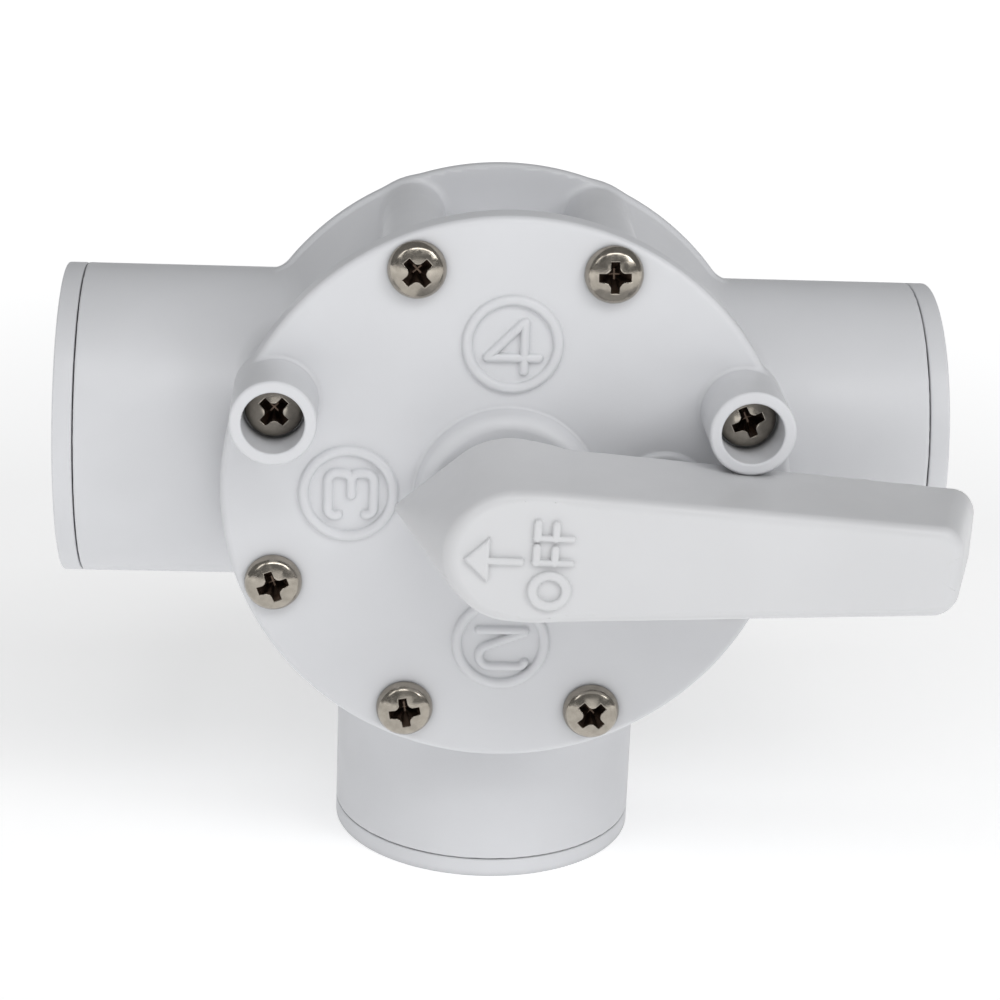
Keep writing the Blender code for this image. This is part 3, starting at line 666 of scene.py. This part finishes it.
def handle_field(x, y, z):
    """Lever: hub with a pointer, arm with a hollow underside, a boss and raised marks on top."""
    down = np.clip((y - HANDLE_TOP) / (HANDLE_BOTTOM - HANDLE_TOP), -0.1, 1.1)
    hub = HUB_R + (HUB_BASE_R - HUB_R) * down
    nose_x = -(NOSE_REACH - NOSE_TIP_R) * down
    nose_r = HUB_R * (1 - down) + NOSE_TIP_R * down
    head = pill(x, z, (0.0, 0.0), hub, (nose_x, 0.0), nose_r)
    draft = ARM_DRAFT * down
    end = ARM_END + (ARM_END_BASE - ARM_END) * down - ARM_CORNER
    half = ARM_HALF - ARM_CORNER
    arm = pill(x, np.abs(z), (SHOULDER_X, 0.0), HUB_R + draft, (end, half), ARM_CORNER + draft)
    tip = np.maximum(np.maximum(np.abs(z) - half, SHOULDER_X - x), x - end - ARM_CORNER - draft)
    arm = np.minimum(arm, tip)
    side = blend(head, arm, 3.0)
    lever = meet(side, HANDLE_TOP - y, HANDLE_ROUND)
    (start_x, start_y), (end_x, end_y) = ARM_UNDERSIDE
    rise = (end_y - start_y) / (end_x - start_x)
    underside = np.maximum(y - HANDLE_BOTTOM, y - start_y - rise * (x - start_x))
    lever = meet(lever, underside, 0.5)
    near = y < HANDLE_TOP + 1.5
    if near.any():
        mark = meet(handle_marks(x[near], z[near]), MARK_TOP - y[near], 0.55)
        lever[near] = blend(lever[near], np.maximum(mark, y[near] - HANDLE_TOP - 1.0), 0.3)
    room = meet(arm + HANDLE_WALL, HANDLE_TOP + HANDLE_ROOF - y, 1.5)
    room = np.maximum(room, POCKET_START - x)
    room = np.maximum(room, POCKET_RIB_HALF - np.abs(x - POCKET_RIB_X))
    boss = drum(np.hypot(x, z), y, BOSS_R, BOSS_TOP, BOSS_BOTTOM, 0.6)
    lever = np.minimum(carve(lever, room, 0.4), boss)
    clear = np.maximum(np.hypot(x, z) - STEM_BORE_R, STEM_SHOULDER - 0.3 - y)
    square = np.maximum(np.abs(x), np.abs(z)) - SQUARE_HOLE_HALF
    square = np.maximum(square, SQUARE_HOLE_TOP - y)
    return carve(lever, np.minimum(clear, square), 0.3)


def diverter_field(x, y, z):
    """Curved wall on two plates, with the stem through the lid and the pivot in the back."""
    radial = np.hypot(x, z)
    angle = np.abs(np.arctan2(z, -x))
    wall = meet(span(radial, *WALL_R), span(y, *WALL_Y), 0.8)
    wall = meet(wall, (angle - WALL_HALF_ANGLE) * radial, 0.8)
    plates = np.maximum(span(y, *PLATE_Y), PLATE_INNER_Y - np.abs(y))
    plates = np.maximum(plates, (angle - PLATE_HALF_ANGLE) * radial)
    plates = np.maximum(plates, radial - PLATE_R)
    solid = blend(wall, plates, 1.5)
    for radius, low, high in STEM_STEPS:
        solid = np.minimum(solid, drum(radial, y, radius, low, high, 0.3))
    square = np.maximum(np.maximum(np.abs(x), np.abs(z)) - SQUARE_HALF, span(y, *SQUARE_Y))
    solid = np.minimum(solid, square)
    tube = np.hypot(y, z)
    groove = np.maximum(span(tube, *SEAL_GROOVE), np.maximum(SEAL_GROOVE_R - radial, x))
    rings = np.minimum(*(span(y, *groove_y) for groove_y in STEM_GROOVES_Y))
    rings = np.maximum(rings, STEM_GROOVE_R[0] - radial)
    rings = np.maximum(rings, radial - STEM_GROOVE_R[1])
    return carve(solid, np.minimum(groove, rings))


def seal_field(x, y, z):
    """Rubber ring bent to the drum, with a rounded lip."""
    radial = np.hypot(x, z)
    ring = meet(span(np.hypot(y, z), *SEAL_TUBE), span(radial, *SEAL_R), 0.9)
    return np.maximum(ring, x)


def turning_pieces():
    pad = Vector((1.2, 1.2, 1.2))
    margin = Vector((2.5, 1.0, 3.0))
    lever = contour("lever_handle", handle_field, handle_low - margin, handle_high + margin, 0.5)
    settle(lever, white_lever_with_painted_shade, "rotor", "handle_plastic", "handle", lean=True)
    low, high = node_box("diverter")
    inner = contour("diverter_plug", diverter_field, low - pad, high + pad, 0.7)
    settle(inner, grey, "rotor", "diverter_plastic", "diverter", lean=True)
    low, high = node_box("diverter_seal")
    seal = contour("diverter_ring", seal_field, low - pad, high + pad, 0.5)
    settle(seal, rubber, "rotor", "seal_rubber", "diverter_seal", lean=True)


# ---------------------------------------------------------------- materials

# Reach and darkest tone of the painted shade in creases.
PAINTED_SHADE_REACH = 0.0022
PAINTED_SHADE_TONE = 0.72


def shader(name, colour, roughness, metallic=0.0):
    material = bpy.data.materials.new(name)
    material.use_nodes = True
    node = material.node_tree.nodes["Principled BSDF"]
    node.inputs["Base Color"].default_value = (*colour, 1.0)
    node.inputs["Roughness"].default_value = roughness
    node.inputs["Metallic"].default_value = metallic
    return material, node


def noise(tree, scale, detail=3.0, roughness=0.5):
    place = tree.nodes.new("ShaderNodeTexCoord")
    node = tree.nodes.new("ShaderNodeTexNoise")
    node.inputs["Scale"].default_value = scale
    node.inputs["Detail"].default_value = detail
    node.inputs["Roughness"].default_value = roughness
    tree.links.new(place.outputs["Object"], node.inputs["Vector"])
    return node.outputs["Fac"]


def ramp(tree, value, first, second, low=0.35, high=0.65):
    """A colour ramp between two greys or colours."""
    node = tree.nodes.new("ShaderNodeValToRGB")
    node.color_ramp.elements[0].position = low
    node.color_ramp.elements[1].position = high
    node.color_ramp.elements[0].color = (*first, 1.0)
    node.color_ramp.elements[1].color = (*second, 1.0)
    tree.links.new(value, node.inputs["Fac"])
    return node.outputs["Color"]


def bump(tree, value, strength, distance, before=None):
    node = tree.nodes.new("ShaderNodeBump")
    node.inputs["Strength"].default_value = strength
    node.inputs["Distance"].default_value = distance
    tree.links.new(value, node.inputs["Height"])
    if before is not None:
        tree.links.new(before, node.inputs["Normal"])
    return node.outputs["Normal"]


def with_painted_crease_shade(tree, colour):
    """Paint shade into a colour in narrow creases: ambient occlusion darkens it at the foot of raised
    marks and in joints.
    """
    # Painted shade: the occlusion value scales the colour down where creases hide the light.
    shade = tree.nodes.new("ShaderNodeAmbientOcclusion")
    shade.inputs["Distance"].default_value = PAINTED_SHADE_REACH
    shade.samples = 8
    painted_crease_shade = ramp(tree, shade.outputs["AO"], grey_pair(PAINTED_SHADE_TONE), grey_pair(1.0), 0.35, 0.9)
    mix = tree.nodes.new("ShaderNodeMix")
    mix.data_type = "RGBA"
    mix.blend_type = "MULTIPLY"
    mix.inputs["Factor"].default_value = 1.0
    tree.links.new(colour, mix.inputs["A"])
    tree.links.new(painted_crease_shade, mix.inputs["B"])
    return mix.outputs["Result"]


def grey_pair(value):
    return (value, value, value)


def moulded(name, colour, roughness, tint=0.97):
    """Satin moulded plastic: faint cloudiness, fine grain, slightly uneven gloss and painted shade in
    creases.
    """
    material, node = shader(name, colour, roughness)
    tree = material.node_tree
    cloud = noise(tree, 38.0, 4.0)
    darker = tuple(channel * tint for channel in colour)
    # The cloudy tone gets painted shade in creases.
    tone = with_painted_crease_shade(tree, ramp(tree, cloud, darker, colour))
    tree.links.new(tone, node.inputs["Base Color"])
    patch = noise(tree, 120.0, 3.0)
    shine = ramp(tree, patch, grey_pair(roughness - 0.05), grey_pair(roughness + 0.06))
    tree.links.new(shine, node.inputs["Roughness"])
    grain = bump(tree, noise(tree, 2600.0, 2.0), 0.12, 0.00005)
    flow = bump(tree, noise(tree, 160.0, 2.0), 0.10, 0.0002, grain)
    tree.links.new(flow, node.inputs["Normal"])
    node.inputs["Specular IOR Level"].default_value = 0.5
    return material


def metal(name, colour, low_gloss, high_gloss):
    """Stainless steel: warm grey, fine scratches and a slightly uneven polish."""
    material, node = shader(name, colour, high_gloss, 1.0)
    tree = material.node_tree
    darker = tuple(channel * 0.82 for channel in colour)
    tree.links.new(ramp(tree, noise(tree, 500.0, 3.0), darker, colour), node.inputs["Base Color"])
    shine = ramp(tree, noise(tree, 900.0, 4.0), grey_pair(low_gloss), grey_pair(high_gloss))
    tree.links.new(shine, node.inputs["Roughness"])
    scratch = bump(tree, noise(tree, 3200.0, 2.0), 0.15, 0.00004)
    tree.links.new(scratch, node.inputs["Normal"])
    return material


def rubber_material():
    material, node = shader("black_rubber", (0.022, 0.022, 0.024), 0.6)
    tree = material.node_tree
    tone = ramp(tree, noise(tree, 300.0), (0.018, 0.018, 0.02), (0.034, 0.034, 0.036))
    tree.links.new(tone, node.inputs["Base Color"])
    skin = bump(tree, noise(tree, 1800.0), 0.2, 0.00006)
    tree.links.new(skin, node.inputs["Normal"])
    return material


white = moulded("white_body_plastic", (0.685, 0.691, 0.711), 0.42)
# The lever's white is a copy of the body's white about 5% darker: painted shade, so the handle's lit
# top comes out no brighter than the lid.
white_lever_with_painted_shade = moulded("white_lever_plastic_painted_shade", (0.652, 0.655, 0.667), 0.38)
grey = moulded("grey_diverter_plastic", (0.16, 0.165, 0.17), 0.45, 0.85)
washer = moulded("washer_plastic", (0.82, 0.82, 0.79), 0.3)
steel = metal("stainless_steel", (0.40, 0.365, 0.315), 0.12, 0.26)
# A darker copy of the steel for the cross recess: painted shade.
recess_shade_steel = metal("steel_with_painted_recess_shade", (0.15, 0.11, 0.085), 0.3, 0.5)
rubber = rubber_material()


def dress_hidden_nodes():
    """CAD rings and washer keep their shape and get their real materials."""
    for node, material in (("lid_o_ring", rubber), ("stem_o_ring_lower", rubber),
                           ("stem_o_ring_upper", rubber), ("thrust_washer", washer)):
        item = frame["nodes"][node]
        item.data.materials.clear()
        item.data.materials.append(material)


# ---------------------------------------------------------------- studio

def floor():
    bpy.ops.mesh.primitive_plane_add(size=12.0, location=(0.0, 2.0, 0.0))
    ground = bpy.context.object
    ground.name = "floor"
    material, node = shader("pale_glowing_floor", (0.88, 0.88, 0.88), 0.9)
    tree = material.node_tree
    place = tree.nodes.new("ShaderNodeNewGeometry")
    distance = tree.nodes.new("ShaderNodeVectorMath")
    distance.operation = "LENGTH"
    tree.links.new(place.outputs["Position"], distance.inputs[0])
    # The floor glows: painted light that also lights the valve from below, dimmer towards the world's
    # origin and full from 0.9 m out.
    glow = ramp(tree, distance.outputs["Value"], grey_pair(0.48), grey_pair(1.0), 0.3, 0.9)
    tree.links.new(glow, node.inputs["Emission Color"])
    node.inputs["Emission Strength"].default_value = 0.9
    ground.data.materials.append(material)


def look_at(item, target, roll=0.0):
    direction = Vector(target) - item.location
    turn = direction.to_track_quat("-Z", "Y").to_matrix().to_4x4()
    turn = turn @ Matrix.Rotation(roll, 4, "Z")
    item.rotation_euler = turn.to_euler()


def softbox(name, place, size, power):
    data = bpy.data.lights.new(name, "AREA")
    data.shape = "RECTANGLE"
    data.size, data.size_y = size
    data.energy = power
    item = bpy.data.objects.new(name, data)
    item.location = CENTRE + Vector(place)
    bpy.context.scene.collection.objects.link(item)
    look_at(item, CENTRE)


def camera():
    """The viewpoint: a little left of and above the valve, with a slight roll."""
    data = bpy.data.cameras.new("camera")
    data.lens = 97.48
    item = bpy.data.objects.new("camera", data)
    item.location = CENTRE + Vector((-0.03522, -0.61747, 0.19995))
    bpy.context.scene.collection.objects.link(item)
    look_at(item, CENTRE + Vector((-0.00128, -0.049, -0.00167)), math.radians(2.33))
    bpy.context.scene.camera = item


def studio():
    world = bpy.data.worlds.new("studio")
    world.use_nodes = True
    light = world.node_tree.nodes["Background"]
    light.inputs["Color"].default_value = (0.98, 0.99, 1.0, 1.0)
    light.inputs["Strength"].default_value = 0.265
    bpy.context.scene.world = world
    bpy.context.scene.view_settings.view_transform = "Standard"
    softbox("left_box", (-0.75, -0.75, 0.7), (0.3, 0.6), 1.3)
    softbox("right_box", (0.75, -0.75, 0.7), (0.3, 0.6), 3.3)
    softbox("top_front_box", (0.1, -1.0, 1.25), (1.2, 0.5), 6.9)
    softbox("front_box", (0.1, -1.5, 0.2), (0.8, 0.6), 1.1)


lid_and_body()
reducers()
screws()
turning_pieces()
dress_hidden_nodes()
floor()
studio()
camera()
